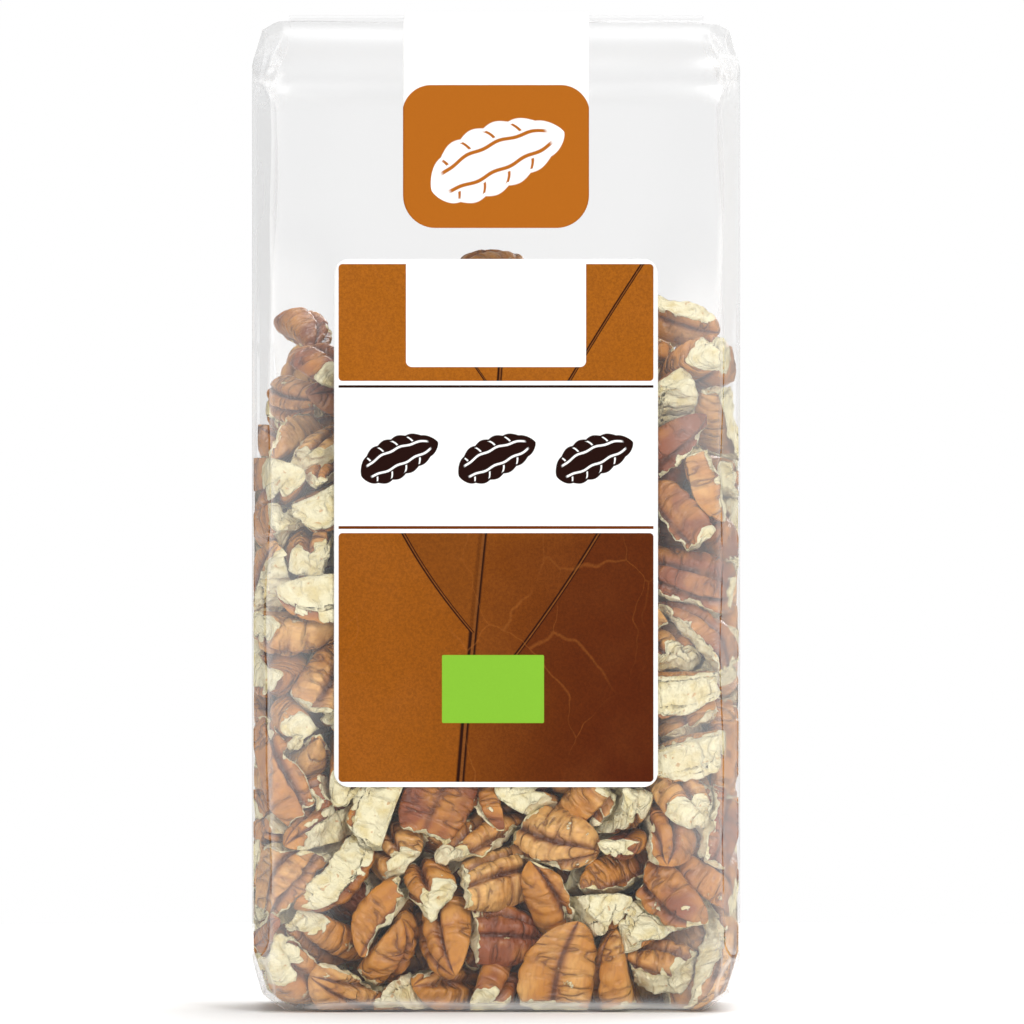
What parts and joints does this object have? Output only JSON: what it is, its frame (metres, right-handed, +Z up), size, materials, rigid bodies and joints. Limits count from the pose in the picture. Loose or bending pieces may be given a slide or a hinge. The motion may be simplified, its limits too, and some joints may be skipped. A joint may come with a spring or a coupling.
{
  "type": "packet of pecan pieces",
  "caption": "Clear film packet of broken pecan kernels, standing upright, with a paper front label and a closure label over its folded top.",
  "frame": {"origin": "middle of the packet's flat base, on the surface it stands on", "axes": "+Z up, -Y towards the front with the label, +X to the right seen from the front"},
  "size_m": [0.098, 0.0612, 0.2018],
  "materials": {
    "clear_film": "clear glossy film with a faint haze and creases at the corners",
    "front_paper": "printed satin paper, brown field with a leaf-vein pattern, white border and band",
    "closure_paper": "printed satin paper, white with an amber-brown rounded square",
    "kernel_brown": "dark brown kernel skin with furrows",
    "kernel_amber": "amber kernel skin with furrows",
    "kernel_cream": "rough cream broken kernel"
  },
  "bodies": {
    "root": {"film_bag": "clear_film", "front_label": "front_paper", "closure_label": "closure_paper", "pecan_fill": "kernel_brown", "pecan_piece_01": "kernel_brown", "pecan_piece_02": "kernel_cream", "pecan_piece_03": "kernel_amber", "pecan_piece_04": "kernel_brown", "pecan_piece_05": "kernel_cream", "pecan_piece_06": "kernel_amber", "pecan_piece_07": "kernel_brown", "pecan_piece_08": "kernel_cream", "pecan_piece_09": "kernel_amber", "pecan_piece_10": "kernel_brown", "pecan_piece_11": "kernel_cream", "pecan_piece_12": "kernel_amber", "pecan_piece_13": "kernel_brown", "pecan_piece_14": "kernel_cream", "pecan_piece_15": "kernel_amber", "pecan_piece_16": "kernel_brown", "pecan_piece_17": "kernel_cream", "pecan_piece_18": "kernel_amber", "pecan_piece_19": "kernel_brown", "pecan_piece_20": "kernel_cream", "pecan_piece_21": "kernel_amber", "pecan_piece_22": "kernel_brown", "pecan_piece_23": "kernel_cream", "pecan_piece_24": "kernel_amber", "pecan_piece_25": "kernel_brown", "pecan_piece_26": "kernel_cream", "pecan_piece_27": "kernel_amber", "pecan_piece_28": "kernel_brown", "pecan_piece_29": "kernel_cream", "pecan_piece_30": "kernel_amber", "pecan_piece_31": "kernel_brown", "pecan_piece_32": "kernel_cream", "pecan_piece_33": "kernel_amber", "pecan_piece_34": "kernel_brown", "pecan_piece_35": "kernel_cream", "pecan_piece_36": "kernel_amber", "pecan_piece_37": "kernel_brown", "pecan_piece_38": "kernel_cream", "pecan_piece_39": "kernel_amber", "pecan_piece_40": "kernel_brown", "pecan_piece_41": "kernel_cream", "pecan_piece_42": "kernel_amber", "pecan_piece_43": "kernel_brown", "pecan_piece_44": "kernel_cream", "pecan_piece_45": "kernel_amber", "pecan_piece_46": "kernel_brown", "pecan_piece_47": "kernel_cream", "pecan_piece_48": "kernel_amber", "pecan_piece_49": "kernel_brown", "pecan_piece_50": "kernel_cream", "pecan_piece_51": "kernel_amber", "pecan_piece_52": "kernel_brown", "pecan_piece_53": "kernel_cream", "pecan_piece_54": "kernel_amber"}
  },
  "joints": []
}
